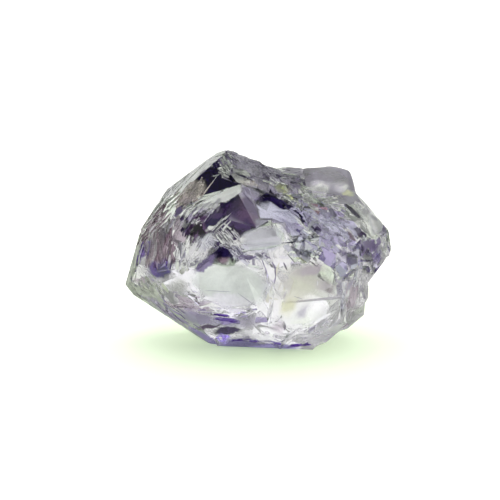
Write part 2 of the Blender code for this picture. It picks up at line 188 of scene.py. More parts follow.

# Painted patches on the skin, by where they show in the front view: right and up of its middle, half width and
# half height, roll, all in mm and degrees, how soft the edge is from 0 to 1, the tint and its strength, and the
# frost, or None where the skin keeps its own. A later row lies over an earlier one. Some rows are stains and
# colour zoning, the crystal's own colour, such as the brown, rust, straw and hay ones; many are painted shade,
# such as the ink, smoky and plum ones, and painted highlights, such as the clear ones, for what shows through it.
STAINS_AND_PAINTED_LIGHT = [
    (-3.8, 0.33, 0.87, 1.49, 8, 0.6, "brown", 0.8, 0.4),  # left zone
    (-3.55, 0.66, 0.25, 0.45, 12, 0.6, "smoky", 0.75, None),
    (-4.13, -0.5, 0.33, 0.21, 30, 0.8, "warm", 0.6, None),
    (-3.76, -0.79, 0.74, 0.45, 14, 0.5, "violet", 1.0, 0.2),
    (-3.59, -0.83, 0.5, 0.33, 18, 0.5, "deep violet", 1.0, 0.0),
    (-3.18, -0.5, 0.29, 0.12, 40, 0.6, "smoky", 0.8, None),
    (-4.34, 0.0, 0.54, 0.27, 55, 0.4, "violet", 1.0, 0.2),
    (-4.3, -1.74, 0.91, 0.54, -35, 0.8, "sage", 0.6, 0.8),
    (-4.63, -1.28, 0.33, 0.14, -20, 0.7, "rosy", 0.8, None),
    (-2.31, 2.48, 0.62, 0.45, 40, 0.6, "warm", 0.85, 0.5),  # left shoulder
    (-2.56, 1.98, 0.37, 0.19, 35, 0.6, "ash", 0.85, None),
    (-2.56, 1.61, 0.37, 0.17, 50, 0.5, "clear", 1.0, 0.4),
    (-1.9, 1.65, 0.37, 0.29, 0, 0.6, "grey", 0.7, None),
    (-2.73, 1.32, 0.25, 0.17, 0, 0.6, "smoky", 0.9, None),
    (-2.73, 1.03, 0.25, 0.12, 0, 0.6, "milky", 0.8, None),
    (-2.6, 0.7, 0.33, 0.25, -20, 0.6, "smoky", 0.95, None),
    (-2.07, 0.87, 0.5, 0.54, -30, 0.45, "plum", 0.95, 0.2),
    (-1.53, 1.24, 0.54, 0.29, 42, 0.4, "ink", 1.0, 0.0),
    (-1.65, 0.91, 0.17, 0.12, 0, 0.5, "milky", 0.9, 0.5),
    (-1.16, 1.4, 0.41, 0.33, 35, 0.7, "ink", 0.7, None),
    (-1.82, 3.14, 0.7, 0.27, 32, 0.4, "ink", 1.0, 0.0),  # under the apex
    (-1.28, 2.85, 0.62, 0.37, -40, 0.3, "ink", 0.95, 0.0),
    (-0.91, 3.8, 0.37, 0.33, 0, 0.8, "ash", 0.35, None),
    (-0.99, 3.97, 0.17, 0.12, 0, 0.6, "smoky", 0.9, None),
    (-0.58, 3.43, 0.45, 0.33, -40, 0.7, "ash", 0.5, None),
    (-0.5, 3.06, 0.5, 0.17, -25, 0.5, "ink", 0.95, None),
    (-1.4, 3.06, 0.21, 0.06, 0, 0.5, "bluish", 0.8, None),
    (-0.95, 1.82, 0.87, 0.21, 33, 0.4, "ink", 1.0, 0.1),
    (-1.16, 2.15, 0.95, 0.25, 27, 0.2, "clear", 1.0, 0.9),
    (-0.99, 1.69, 0.79, 0.17, 30, 0.3, "smoky", 1.0, 0.1),
    (-0.29, 1.49, 0.37, 0.45, -10, 0.9, "plum", 0.8, None),
    (-0.08, 2.77, 0.58, 0.14, -8, 0.5, "warm", 0.8, 0.5),  # beside the ridge
    (0.04, 2.27, 0.54, 0.33, -25, 0.4, "ash", 0.95, 0.3),
    (0.0, 1.61, 0.79, 0.31, -62, 0.3, "plum", 1.0, 0.1),
    (0.08, 1.82, 0.54, 0.27, -55, 0.4, "smoky", 1.0, None),
    (1.07, 2.4, 0.37, 0.08, -32, 0.4, "lilac", 0.9, 0.3),
    (1.03, 2.11, 0.79, 0.29, -33, 0.25, "ink", 1.0, 0.0),
    (1.03, 1.53, 0.79, 0.37, -28, 0.4, "pale lilac", 0.95, 0.5),  # lavender face
    (1.61, 0.95, 0.66, 0.41, -35, 0.7, "lilac", 0.9, 0.5),
    (2.19, 1.03, 0.54, 0.1, -45, 0.5, "clear", 0.7, None),
    (2.44, 0.5, 0.29, 0.12, 20, 0.5, "smoky", 0.85, None),
    (0.45, 1.2, 0.25, 0.21, 0, 0.5, "slate", 0.8, 0.3),
    (0.5, 3.18, 1.12, 0.37, -20, 0.8, "grey", 0.6, None),  # right shoulder
    (1.32, 2.56, 0.37, 0.23, -10, 0.6, "rust", 0.9, 0.6),
    (3.8, 0.91, 1.49, 0.99, -30, 0.9, "lilac", 0.4, None),
    (2.69, 1.84, 0.37, 0.07, -15, 0.5, "rose", 0.6, None),
    (3.51, 1.9, 0.33, 0.17, -10, 0.7, "clear", 0.8, None),
    (3.31, 1.16, 0.66, 0.25, -30, 0.7, "pale lilac", 0.8, None),
    (4.75, 1.61, 0.21, 0.33, 0, 0.6, "ash", 0.8, None),
    (4.09, 1.2, 0.14, 0.14, 0, 0.7, "ash", 0.85, None),
    (3.55, 0.66, 0.14, 0.1, 0, 0.5, "smoky", 0.9, None),
    (4.63, 0.62, 0.25, 0.21, 0, 0.6, "smoky", 1.0, None),
    (4.05, 0.74, 0.41, 0.1, -50, 0.6, "brown", 0.7, None),
    (3.93, -0.33, 0.74, 0.7, 0, 0.9, "lilac", 0.7, 0.7),
    (3.84, -0.12, 0.37, 0.41, 0, 0.9, "ash", 0.9, 0.6),
    (5.21, -0.29, 0.33, 0.66, -15, 0.7, "mauve", 0.9, None),
    (5.29, -0.21, 0.17, 0.33, -15, 0.8, "violet", 0.6, None),
    (5.62, 0.17, 0.17, 0.58, -12, 0.6, "mossy", 0.8, 0.6),
    (5.12, 1.16, 0.31, 0.62, 4, 0.2, "clear", 1.0, 0.6),
    (4.05, 2.36, 0.33, 0.17, -10, 0.5, "rust", 0.8, 0.6),  # knob
    (3.22, 3.02, 1.03, 0.33, -3, 0.6, "smoky", 0.8, 0.4),
    (2.4, 2.98, 0.37, 0.41, 20, 0.7, "smoky", 0.5, 0.4),
    (4.21, 2.69, 0.21, 0.58, 10, 0.8, "slate", 0.8, None),
    (2.89, 2.56, 0.54, 0.37, -35, 0.9, "clear", 0.9, 0.4),
    (3.8, 2.56, 0.41, 0.21, 10, 0.8, "milky", 0.6, None),
    (0.54, 0.41, 0.99, 0.62, 12, 0.35, "bluish", 0.9, 0.6),  # flat face in the middle
    (-1.86, 0.33, 0.54, 0.37, 30, 0.5, "bluish", 0.8, 0.5),
    (-0.79, -1.4, 1.82, 1.03, -8, 0.4, "greenish", 1.0, 0.9),  # pale window
    (-0.87, -2.11, 1.53, 0.41, -6, 0.6, "clear", 0.6, 0.8),
    (-2.98, -1.49, 0.62, 0.74, -20, 0.8, "sage", 0.7, 0.6),
    (-2.56, -2.4, 0.83, 0.37, -20, 0.8, "rosy", 0.8, 0.5),
    (-1.32, -0.25, 0.54, 0.41, -10, 0.3, "ink", 0.9, 0.3),
    (-1.86, -0.58, 0.66, 0.21, 38, 0.4, "ash", 1.0, 0.3),
    (-1.07, -0.45, 0.29, 0.19, 0, 0.8, "brown", 0.9, 0.4),
    (-0.17, -0.33, 0.25, 0.12, 0, 0.6, "ash", 0.9, None),
    (2.07, -1.4, 1.4, 1.12, 20, 0.8, "hay", 0.8, 0.9),  # right of the middle
    (2.56, -0.83, 0.91, 0.37, 10, 0.8, "rosy", 0.85, 0.7),
    (3.14, -1.45, 0.66, 0.45, 0, 0.8, "rosy", 0.7, 0.8),
    (3.31, -1.69, 0.29, 0.21, 0, 0.8, "brown", 0.8, 0.5),
    (1.57, -2.31, 0.41, 0.74, -30, 0.8, "straw", 0.8, 0.8),
    (2.19, -2.56, 0.5, 0.29, 42, 0.8, "grey", 0.8, 0.6),
    (2.81, -2.64, 0.62, 0.7, -20, 0.5, "clear", 1.0, 0.6),
    (4.21, -2.31, 0.58, 0.91, 0, 0.9, "rosy", 0.6, 0.6),
    (3.8, -1.86, 0.21, 1.07, 4, 0.6, "bluish", 0.8, 0.4),
    (3.8, -2.4, 0.1, 0.37, 8, 0.6, "ash", 0.95, 0.2),
    (-3.39, -2.73, 1.24, 0.29, -38, 0.7, "grey", 0.7, 0.7),  # foot
    (-2.19, -2.81, 1.16, 0.41, -12, 0.6, "mauve", 0.9, 0.6),
    (-1.94, -3.55, 0.74, 0.33, -34, 0.4, "violet", 0.7, 0.5),
    (-0.91, -3.02, 0.83, 0.33, -8, 0.7, "violet", 0.7, 0.5),
    (-0.08, -2.93, 0.66, 0.37, 10, 0.7, "grey", 0.8, 0.6),
    (1.16, -3.18, 0.41, 0.37, 0, 0.8, "rosy", 0.8, 0.5),
    (1.4, -3.1, 0.1, 0.21, 0, 0.6, "smoky", 0.8, None),
    (0.21, -3.64, 1.65, 0.21, -1, 0.6, "milky", 0.8, 0.7),
    (2.19, -3.51, 0.83, 0.37, 8, 0.7, "milky", 0.8, 0.7),
    (-1.82, -3.2, 0.79, 0.14, 12, 0.4, "plum", 1.0, 0.3),
    (-0.95, -3.35, 0.7, 0.19, 5, 0.4, "smoky", 1.0, 0.1),
    (0.25, -3.97, 2.27, 0.33, -2, 0.4, "violet", 0.95, 0.5),
    (-1.12, -3.64, 0.33, 0.23, 0, 0.6, "bright violet", 1.0, 0.0),
    (-1.16, -3.64, 0.1, 0.08, 0, 0.6, "clear", 0.9, None),
]

# Flat places that no splinter is struck from, in the front view: right and up of its middle, half width and half
# height, and roll.
FLATS = [
    (0.54, 0.41, 0.83, 0.54, 12),
    (1.07, 1.57, 0.74, 0.33, -28),
    (-0.41, -1.2, 1.32, 0.62, -8),
    (-1.16, 2.15, 1.03, 0.29, 27),
    (1.36, 2.6, 0.33, 0.21, -10),
    (-1.49, 2.89, 0.74, 0.33, -20),
    (-1.86, 3.1, 0.5, 0.21, 30),
    (-0.29, 1.4, 0.62, 0.7, -15),
    (3.18, 2.85, 0.91, 0.45, 0),
    (1.07, 2.11, 0.62, 0.21, -33),
    (2.89, -2.19, 0.54, 0.91, 0),
    (2.89, -0.91, 0.83, 0.58, 0),
    (0.08, 2.23, 0.37, 0.25, -25),
    (-3.8, -0.79, 0.58, 0.33, 14),
    (-4.34, 0.0, 0.37, 0.19, 55),
    (5.1, 1.16, 0.41, 0.79, 4),
    (0.0, 1.61, 0.66, 0.25, -62),
    (-1.36, -0.25, 0.5, 0.37, -10),
    (-1.82, -0.58, 0.54, 0.17, 40),
    (-1.82, -3.22, 0.66, 0.14, 12),
    (-0.95, -3.35, 0.54, 0.17, 5),
    (-1.16, -3.64, 0.25, 0.21, 0),
    (-2.02, 0.87, 0.37, 0.45, -30),
    (-1.53, 1.2, 0.45, 0.21, 42),
    (1.57, 0.99, 0.41, 0.25, -35),
    (3.93, -0.25, 0.45, 0.37, 0),
    (5.21, -0.33, 0.21, 0.45, -15),
    (0.25, -3.97, 1.98, 0.12, -2),
    (-2.07, -3.55, 0.58, 0.25, -30),
    (-2.07, -2.81, 0.74, 0.25, -12),
]

# Hairlines and cleavage lines, by the points of the front view that they run through, in mm right and up of its
# middle, with their width in mm and their tint. The clear ones are painted highlights, glints along the cracks.
LINES = [
    (((0.91, -2.23), (0.66, -3.47)), 0.09, "clear"),
    (((-1.76, 2.52), (-1.42, 2.98)), 0.03, "clear"),
    (((-0.31, 2.4), (0.08, 1.94)), 0.03, "ink"),
    (((-3.76, 0.81), (-3.31, 1.24)), 0.11, "clear"),
    (((-1.26, 1.12), (-1.0, 1.38)), 0.05, "clear"),
    (((-0.83, 0.25), (-0.12, -0.25)), 0.04, "ash"),
    (((0.0, -0.41), (0.36, -0.17), (0.68, -0.1)), 0.05, "ash"),
    (((0.41, -0.12), (0.81, -0.33), (1.02, -0.68), (1.06, -1.06), (1.02, -1.36)), 0.05, "ash"),
    (((0.5, -0.43), (0.6, -0.68), (0.72, -0.98)), 0.04, "ash"),
    (((1.4, -0.56), (1.53, -0.81)), 0.07, "smoky"),
    (((1.57, -0.08), (1.74, -0.39)), 0.03, "smoky"),
    (((1.49, 0.29), (1.9, 0.33)), 0.05, "ink"),
    (((2.48, -0.47), (2.75, -0.66), (2.96, -0.6)), 0.05, "ink"),
    (((2.79, -1.28), (2.8, -1.45)), 0.05, "clear"),
    (((3.84, -1.65), (3.82, -1.9)), 0.04, "clear"),
    (((3.6, -1.2), (3.6, -2.96)), 0.03, "milky"),
    (((3.88, -2.1), (3.78, -2.5)), 0.06, "smoky"),
    (((1.45, -3.1), (1.43, -3.3)), 0.05, "smoky"),
    (((1.86, -1.93), (2.15, -2.02)), 0.025, "ash"),
    (((-1.74, -1.68), (-0.9, -1.72)), 0.025, "ash"),
    (((-0.43, -1.84), (0.17, -2.27), (0.64, -2.75)), 0.03, "ash"),
    (((0.62, -3.42), (0.78, -3.45)), 0.12, "clear"),
]

# Torn zones: the side that they are seen from, their middle right and up of the middle of that view,
# the way of their grain in it in degrees, their half length along it and half width across it, how many cuts,
# the longest half length of a cut, its length to width, its depth, how much it leans in degrees, the light and
# the dark tint, the share of dark cuts, and the frost of a cut. The light and the dark tint are painted highlights
# and painted shade on lit and shaded splinters. Lengths are in mm.
TORN = {
    "apex": (FRONT, (-1.0, 3.5), -45, (0.5, 0.55), 90, 0.3, 4.5, 0.06, 14, "milky", "ink", 0.5, 0.3),
    "window_top": (FRONT, (-1.75, 3.15), 35, (0.5, 0.16), 24, 0.3, 5.0, 0.04, 10, "ash", "ink", 0.6, 0.2),
    "top_ridge": (FRONT, (0.35, 3.4), -25, (1.5, 0.45), 260, 0.45, 8.0, 0.06, 13, "grey", "smoky", 0.35, 0.4),
    "ridge_side": (FRONT, (0.5, 2.75), -20, (1.0, 0.4), 100, 0.45, 6.5, 0.06, 13, "milky", "smoky", 0.4, 0.4),
    "shoulder_light": (FRONT, (-2.5, 2.2), 55, (0.6, 0.4), 40, 0.6, 5.0, 0.07, 14, "warm", "ash", 0.25, 0.5),
    "shoulder": (FRONT, (-2.1, 1.6), 52, (0.8, 0.6), 130, 0.5, 9.0, 0.09, 15, "clear", "ink", 0.4, 0.2),
    "shoulder_low": (FRONT, (-2.35, 0.8), 60, (0.5, 0.6), 90, 0.4, 7.0, 0.08, 15, "milky", "ink", 0.55, 0.2),
    "shoulder_comb": (FRONT, (-1.2, 1.1), 50, (0.4, 0.45), 60, 0.3, 10.0, 0.05, 12, "milky", "smoky", 0.5, 0.2),
    "striped": (FRONT, (-0.95, 0.4), -50, (0.6, 0.5), 150, 0.26, 12.0, 0.04, 12, "milky", "smoky", 0.4, 0.4),
    "columns": (FRONT, (-3.75, 0.3), 80, (1.1, 0.6), 44, 0.6, 4.5, 0.03, 9, "rosy", "brown", 0.5, 0.4),
    "beside_columns": (FRONT, (-2.8, 0.0), 75, (0.8, 0.45), 30, 0.4, 4.0, 0.05, 12, "milky", "slate", 0.35, 0.4),
    "ridge_left": (FRONT, (-2.3, -0.5), 30, (0.9, 0.16), 40, 0.25, 3.0, 0.05, 14, "milky", "slate", 0.4, 0.4),
    "ridge_middle": (FRONT, (-0.45, -0.2), -20, (0.9, 0.25), 60, 0.25, 3.5, 0.05, 14, "bluish", "slate", 0.4, 0.4),
    "ridge_right": (FRONT, (0.6, -0.25), -75, (0.3, 0.9), 40, 0.3, 5.0, 0.04, 12, "milky", "slate", 0.3, 0.4),
    "right_top": (FRONT, (2.3, 2.2), -20, (1.4, 0.5), 220, 0.4, 5.0, 0.07, 15, "milky", "smoky", 0.3, 0.4),
    "right_mid": (FRONT, (2.9, 1.5), -30, (1.3, 0.55), 180, 0.36, 3.5, 0.07, 15, "pale lilac", "slate", 0.35, 0.6),
    "right_front": (FRONT, (3.5, 0.5), -35, (1.4, 0.8), 150, 0.34, 3.0, 0.06, 13, "pale lilac", "mauve", 0.2, 0.8),
    "right_low": (FRONT, (2.3, 0.1), 0, (0.9, 0.5), 70, 0.3, 3.0, 0.06, 14, "bluish", "slate", 0.3, 0.6),
    "right_edge": (FRONT, (5.0, 0.1), 65, (1.0, 0.4), 60, 0.34, 3.0, 0.06, 12, "bluish", "mauve", 0.3, 0.6),
    "right_lower": (FRONT, (4.2, -1.7), 85, (1.2, 0.5), 60, 0.45, 5.0, 0.05, 10, "milky", "grey", 0.3, 0.6),
    "left_tip": (FRONT, (-4.2, -1.75), -35, (0.9, 0.5), 110, 0.18, 1.8, 0.05, 14, "mossy", "slate", 0.3, 0.8),
    "under_left": (FRONT, (-3.2, -2.7), -38, (1.6, 0.3), 60, 0.35, 4.0, 0.04, 10, "lilac", "slate", 0.35, 0.8),
    "left_low": (FRONT, (-2.7, -2.3), 10, (0.9, 0.5), 40, 0.4, 5.0, 0.04, 10, "rosy", "grey", 0.4, 0.5),
    "foot_front": (FRONT, (-1.45, -3.1), 8, (1.6, 0.4), 50, 0.45, 5.0, 0.05, 12, "lilac", "mauve", 0.4, 0.5),
    "foot": (FRONT, (0.0, -3.7), 0, (1.8, 0.25), 30, 0.4, 5.0, 0.05, 10, "milky", "mauve", 0.3, 0.5),
    "foot_right": (FRONT, (2.4, -3.4), 15, (1.2, 0.4), 36, 0.4, 4.0, 0.05, 12, "clear", "lilac", 0.3, 0.5),
    "pale_window": (FRONT, (-0.6, -1.5), -12, (1.3, 0.7), 20, 0.26, 12.0, 0.015, 4, "greenish", "grey", 0.5, 0.6),
    "middle_right": (FRONT, (1.4, -1.4), 70, (1.0, 0.8), 16, 0.3, 8.0, 0.02, 6, "hay", "grey", 0.3, 0.6),
    "rim_up": (FRONT, (-3.4, 2.3), 48, (1.5, 0.3), 60, 0.55, 8.0, 0.03, 8, "clear", "sage", 0.3, 0.4),
    "rim_low": (FRONT, (-4.45, 0.2), 74, (1.4, 0.25), 40, 0.5, 8.0, 0.03, 8, "mossy", "slate", 0.25, 0.9),
    "saddle": (FRONT, (1.8, 2.8), -15, (0.8, 0.3), 70, 0.28, 4.0, 0.06, 14, "grey", "smoky", 0.4, 0.5),
    "back_left": (BACK, (2.6, 0.6), 35, (1.4, 0.9), 110, 0.6, 4.0, 0.06, 12, "milky", "grey", 0.25, 0.7),
    "back_right": (BACK, (-2.6, 0.0), -35, (1.4, 0.9), 100, 0.6, 4.0, 0.06, 12, "milky", "grey", 0.25, 0.7),
    "back_top": (BACK, (0.6, 2.4), 12, (1.8, 0.6), 80, 0.6, 5.0, 0.06, 12, "milky", "grey", 0.25, 0.7),
    "back_low": (BACK, (0.0, -2.4), 5, (2.0, 0.5), 60, 0.6, 5.0, 0.05, 10, "milky", "lilac", 0.25, 0.7),
    "left_side": ((-90, 10), (0.4, 0.4), 70, (1.8, 0.9), 80, 0.55, 5.0, 0.05, 10, "mossy", "grey", 0.3, 0.7),
    "right_side": ((90, 10), (0.2, -0.4), 80, (1.6, 0.9), 80, 0.55, 4.0, 0.05, 12, "milky", "lilac", 0.3, 0.6),
}

# Outlines of the slabs, as the planes that cut the corners off a unit square: a point and the way it looks.
SLABS = {
    "splinter": ((0.5, 0.12, 50), (0.5, -0.3, -50), (-0.5, 0.25, 130), (-0.5, -0.1, -130)),
    "chip": ((0.3, 0.5, 40), (0.5, -0.1, -35), (-0.2, -0.5, -125), (-0.5, 0.2, 150)),
    "blade": ((0.5, 0.4, 25), (-0.5, 0.0, 165), (-0.1, -0.5, -100)),
}


def linear(hex_colour):
    """An sRGB hex colour as linear red, green, blue and an alpha of one."""
    channels = [int(hex_colour[i : i + 2], 16) / 255 for i in (1, 3, 5)]
    return tuple(c / 12.92 if c <= 0.04045 else ((c + 0.055) / 1.055) ** 2.4 for c in channels) + (1.0,)


def outward(turn, tilt):
    """The way a face looks: turn from the front (-Y) towards the right (+X), tilt upwards, in degrees."""
    turn, tilt = math.radians(turn), math.radians(tilt)
    return Vector((math.sin(turn) * math.cos(tilt), -math.cos(turn) * math.cos(tilt), math.sin(tilt)))


def sight(side):
    """Where an eye on that side stands, and the ways to the right, up and forward in its view."""
    turn = math.radians(side[0])
    rightward, forward = Vector((math.cos(turn), math.sin(turn), 0)), -outward(*side)
    return Vector(VIEW_MIDDLE) * MM - forward * EYE_DISTANCE, rightward, rightward.cross(forward), forward


def covers(patch, across, up):
    """Whether an ellipse of the front view, given by its middle, half sizes and roll, covers a place."""
    x, y, half_width, half_height, roll = patch[:5]
    away = Matrix.Rotation(math.radians(-roll), 2) @ Vector((across - x, up - y))
    return (away.x / half_width) ** 2 + (away.y / half_height) ** 2 < 1


def on_skin(crystal, side, across, up):
    """The point of the skin, and the way it looks, at a place in the view from a side, in mm right and up."""
    stand, rightward, upward, forward = sight(side)
    aim = forward * EYE_DISTANCE + (rightward * across + upward * up) * MM
    hit, point, looks, _ = crystal.ray_cast(stand, aim.normalized())
    return (point, looks) if hit else (None, None)


def in_front_view(point):
    """Where a point in metres shows in the front view, in mm right and up of its middle."""
    stand, rightward, upward, forward = sight(FRONT)
    away = point - stand
    scale = EYE_DISTANCE / away.dot(forward) / MM
    return away.dot(rightward) * scale, away.dot(upward) * scale


def select_only(obj):
    """Makes one object the active one, and the only one that is selected."""
    bpy.ops.object.select_all(action="DESELECT")
    obj.select_set(True)
    bpy.context.view_layer.objects.active = obj


def through(tint):
    """The shader's colour for a named tint. It is squared, because each of the two surfaces takes its root."""
    return tuple(channel**2 for channel in linear(TINTS[tint]))


def between(light, dark, share):
    """The shader's colour for a tint that lies between two named ones."""
    return tuple(u + (v - u) * share for u, v in zip(through(light), through(dark)))


def paint(mesh, tint, frost, own):
    """Gives every face of a mesh one tint, one frost, and the share of its tint that it keeps under a painted patch.
    """
    for name, kind in (("tint", "FLOAT_COLOR"), ("frost", "FLOAT"), ("own", "FLOAT")):
        if name not in mesh.attributes:
            mesh.attributes.new(name, kind, "FACE")
    for i in range(len(mesh.polygons)):
        mesh.attributes["tint"].data[i].color = tint
        mesh.attributes["frost"].data[i].value = frost
        mesh.attributes["own"].data[i].value = own


def paint_faces(mesh):
    """Tints and frosts the flat faces of the body, each by the way it looks and where it lies, the dark windows with
    painted shade.
    """
    paint(mesh, through("milky"), 0.1, 0.0)
    colours, frosts = mesh.attributes["tint"].data, mesh.attributes["frost"].data
    for face in mesh.polygons:
        middle, looks = face.center / MM, face.normal
        frost = 0.0
        # the back and the left rim are old skin
        if looks.y > -0.25 or (middle.x < -2.6 and looks.x < -0.75):
            frost = 1.0
        if on_knob(middle):
            frost = 1.0
            colours[face.index].color = through("pewter")
        frosts[face.index].value = frost
        for facing, within, centre, radius, tint, amount in FACES:
            turned = math.degrees(looks.angle(outward(*facing)))
            if turned < within and (middle - Vector(centre)).length < radius:
                colours[face.index].color = through(tint)
                frosts[face.index].value = amount


def on_knob(place):
    """Whether a place in mm lies on the knob."""
    return (place - Vector(KNOB_MIDDLE)).length < KNOB_RADIUS and place.z > KNOB_FOOT


def round_off_knob(crystal, rounds=8, fatter=0.07):
    """Wears the edges off the knob's faces, as on old skin, and makes up for what that takes off, in mm."""
    select_only(crystal)
    bpy.ops.object.mode_set(mode="EDIT")
    bpy.ops.mesh.select_mode(type="FACE")
    bpy.ops.mesh.select_all(action="DESELECT")
    bpy.ops.object.mode_set(mode="OBJECT")
    for face in crystal.data.polygons:
        face.select = on_knob(face.center / MM)
    bpy.ops.object.mode_set(mode="EDIT")
    bpy.ops.mesh.quads_convert_to_tris()
    bpy.ops.mesh.subdivide(number_cuts=4)
    bpy.ops.mesh.vertices_smooth(factor=0.5, repeat=rounds)
    bpy.ops.transform.shrink_fatten(value=fatter * MM)
    bpy.ops.object.mode_set(mode="OBJECT")


def slab_shape(name, corners):
    """A slab, 1 by 1 by 1 with its underside at the origin, with its corners cut off to a pointed outline."""
    bpy.ops.object.select_all(action="DESELECT")
    bpy.ops.mesh.primitive_cube_add(size=1, location=(0, 0, 0))
    slab = bpy.context.object
    slab.name = name
    bpy.ops.object.mode_set(mode="EDIT")
    bpy.ops.mesh.select_all(action="SELECT")
    bpy.ops.transform.translate(value=(0, 0, 0.5))
    for x, y, turn in corners:
        looks = Matrix.Rotation(math.radians(turn), 3, "Z") @ Vector((1, 0, 0))
        bpy.ops.mesh.select_all(action="SELECT")
        bpy.ops.mesh.bisect(plane_co=(x, y, 0), plane_no=looks, use_fill=True, clear_outer=True)
    bpy.ops.object.mode_set(mode="OBJECT")
    return slab


def laid(point, looks, along):
    """The placing that puts a shape's +Z the way the skin looks and its +X along it, at a point in metres."""
    side = looks.cross(along).normalized()
    return Matrix.Translation(point) @ Matrix((side.cross(looks), side, looks)).transposed().to_4x4()


def splinters(
    name, crystal, slabs, side, middle, grain, halves, cuts, longest, slender, depth, lean, light, dark, share, frosted
):
    """Slabs strewn over a torn zone, long along its grain, each on the skin, tipped its own way and tinted light or
    dark as painted highlight and shade, or in the tint of a patch over it.
    """
    rng = Random(f"{SEED} {name}")
    _, rightward, upward, _ = sight(side)
    grain = math.radians(grain)
    cosine, sine = math.cos(grain), math.sin(grain)
    spin = SPREAD / slender
    for i in range(cuts):
        x, y = rng.gauss(0, 0.5) * halves[0], rng.gauss(0, 0.5) * halves[1]
        across, up = middle[0] + x * cosine - y * sine, middle[1] + x * sine + y * cosine
        point, looks = on_skin(crystal, side, across, up)
        half_length = longest * rng.uniform(0.55, 1.1) ** 2
        half_width = half_length / slender * rng.uniform(0.6, 1.5)
        turn = grain + math.radians(rng.gauss(0, spin))
        tip, dip = math.radians(rng.gauss(0, lean)), math.radians(rng.gauss(0, lean / 2))
        down = depth * rng.uniform(-0.4, 1.0)
        amount = rng.uniform(0.6, 1.0) if rng.random() < share else rng.uniform(0.0, 0.3)
        frost, follows = frosted * rng.uniform(0.5, 1.3), rng.random()
        slab = rng.choice(slabs)
        if point is None:
            continue
        seen = looks.dot(sight(FRONT)[3]) < 0 and in_front_view(point)
        if seen and any(covers(flat, *seen) for flat in FLATS):
            continue
        # painted light and shade: each splinter is tinted between lit and shaded at random
        tint = between(light, dark, amount)
        patch_rows = [painted_patch for painted_patch in STAINS_AND_PAINTED_LIGHT if seen and covers(painted_patch, *seen)]
        if patch_rows:
            patch_tint, strength = patch_rows[-1][6:8]
            if follows < strength * FOLLOWS:
                tint = through(patch_tint)
        cut = bpy.data.objects.new(f"{name}_{i + 1}", slab.data.copy())
        cut.matrix_world = (
            laid(point - looks * down * MM, looks, rightward * math.cos(turn) + upward * math.sin(turn))
            @ Matrix.Rotation(tip, 4, "X")
            @ Matrix.Rotation(dip, 4, "Y")
            @ Matrix.Diagonal((2 * half_length * MM, 2 * half_width * MM, REACH * MM, 1))
        )
        paint(cut.data, tint, frost, SPLINTER_KEEPS)
        yield cut


def flat_break(name, crystal, side, facing, place, depth, outline, tint, shaded_wall_tint, frost):
    """A block whose underside leaves a flat break of that outline in the skin, with walls of another tint, painted
    shade.
    """
    point, _ = on_skin(crystal, side, *place)
    if point is None:
        raise ValueError(f"the break {name} is off the crystal")
    looks = outward(*facing)
    level = looks.dot(point - looks * depth * MM)
    stand, rightward, upward, forward = sight(side)
    corners = []
    for across, up in outline:
        aim = forward * EYE_DISTANCE + (rightward * across + upward * up) * MM
        corners.append(stand + aim * (level - looks.dot(stand)) / looks.dot(aim))
    mesh = bpy.data.meshes.new(name)
    mesh.from_pydata(corners, [], [range(len(corners))])
    cut = bpy.data.objects.new(name, mesh)
    bpy.context.scene.collection.objects.link(cut)
    select_only(cut)
    bpy.ops.object.mode_set(mode="EDIT")
    bpy.ops.mesh.select_all(action="SELECT")
    bpy.ops.mesh.extrude_region_move(TRANSFORM_OT_translate={"value": looks * BREAK_REACH * MM})
    bpy.ops.mesh.select_all(action="SELECT")
    bpy.ops.mesh.normals_make_consistent(inside=False)
    bpy.ops.object.mode_set(mode="OBJECT")
    bpy.context.scene.collection.objects.unlink(cut)
    # painted shade: the walls of the break take their own, mostly darker, tint
    paint(mesh, through(shaded_wall_tint), 0.0, 0.0)
    for face in mesh.polygons:
        if face.normal.dot(looks) < -0.5:
            mesh.attributes["tint"].data[face.index].color = through(tint)
            mesh.attributes["frost"].data[face.index].value = frost
    return cut


def hairline(name, crystal, slab, route, width, tint):
    """Thin slabs end to end along a line of the front view, each half its width deep."""
    places = [on_skin(crystal, FRONT, *place) for place in route]
    if any(point is None for point, _ in places):
        raise ValueError(f"{name} leaves the crystal: {route}")
    for i, ((a, looks_a), (b, looks_b)) in enumerate(zip(places, places[1:])):
        looks = (looks_a + looks_b).normalized()
        cut = bpy.data.objects.new(f"{name}_{i + 1}", slab.data.copy())
        cut.matrix_world = laid((a + b) / 2 - looks * width / 2 * MM, looks, (b - a).normalized()) @ Matrix.Diagonal(
            ((b - a).length * 1.25, width * MM, REACH * MM, 1)
        )
        # a clear line is a painted highlight, a glint along the crack
        paint(cut.data, through(tint), 0.2, LINE_KEEPS)
        yield cut


def cut_away(crystal, name, cutters):
    """Takes a group of cutters from the crystal. Their faces leave their tint, frost and own share on it."""
    group = bpy.data.collections.new(name)
    bpy.context.scene.collection.children.link(group)
    for cutter in cutters:
        group.objects.link(cutter)
    change = crystal.modifiers.new(name, "BOOLEAN")
    change.operation = "DIFFERENCE"
    change.solver = "MANIFOLD"
    change.operand_type = "COLLECTION"
    change.collection = group
    select_only(crystal)
    bpy.ops.object.modifier_apply(modifier=name)
    for cutter in list(group.objects):
        mesh = cutter.data
        bpy.data.objects.remove(cutter)
        bpy.data.meshes.remove(mesh)
    bpy.data.collections.remove(group)


def add(tree, kind, sockets=None, **settings):
    """Adds a node with its settings. A socket takes a value, or the output of a node as (node, output)."""
    node = tree.nodes.new(kind)
    for name, value in settings.items():
        setattr(node, name, value)
    for name, value in (sockets or {}).items():
        if isinstance(value, tuple) and isinstance(value[0], bpy.types.Node):
            tree.links.new(value[0].outputs[value[1]], node.inputs[name])
        else:
            node.inputs[name].default_value = value
    return node


